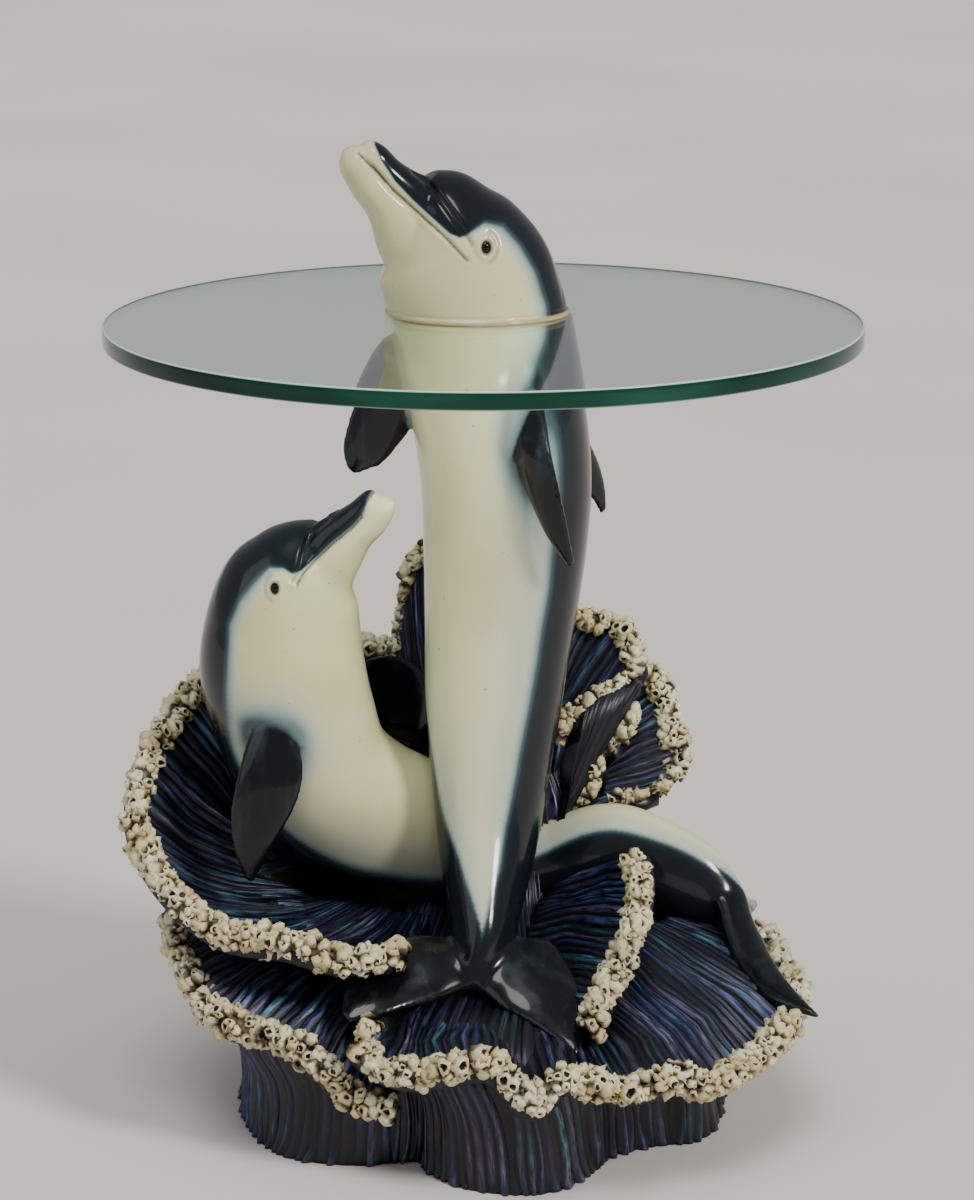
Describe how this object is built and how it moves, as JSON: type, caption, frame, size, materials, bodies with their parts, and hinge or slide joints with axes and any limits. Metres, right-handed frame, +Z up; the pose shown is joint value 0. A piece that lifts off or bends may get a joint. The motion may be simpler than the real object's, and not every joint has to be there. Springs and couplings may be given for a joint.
{
  "type": "round glass-topped dolphin side table",
  "caption": "Side table: leaping dolphins cast in painted resin on a barnacled coral base, a round glass top, and a dolphin head standing on the glass.",
  "frame": {"origin": "on the floor, straight under the centre of the round glass top", "axes": "+Z up; +X to the right and -Y to the front, where the tall dolphin's tail fluke lies on the coral"},
  "size_m": [0.508, 0.508, 0.6739],
  "materials": {
    "dolphin_paint": "Glossy airbrushed paint on cast resin: near-black slate back, blue-green flank, grey-white side, cream belly.",
    "coral_paint": "Dark navy and purple paint on fluted cast resin, with teal, blue and violet dry-brushed along the ridges.",
    "barnacle_crust": "Cream and ivory paint on a rough crust of small barnacles, with dark grime in their holes.",
    "head_paint": "The same glossy airbrushed paint, mostly cream, with a dark slate crown and a black eye.",
    "tabletop_glass": "Clear polished float glass with a deep green edge."
  },
  "bodies": {
    "root": {"dolphins_and_coral_casting": "dolphin_paint", "glass_top": "tabletop_glass", "upper_dolphin_head": "head_paint"}
  },
  "joints": []
}
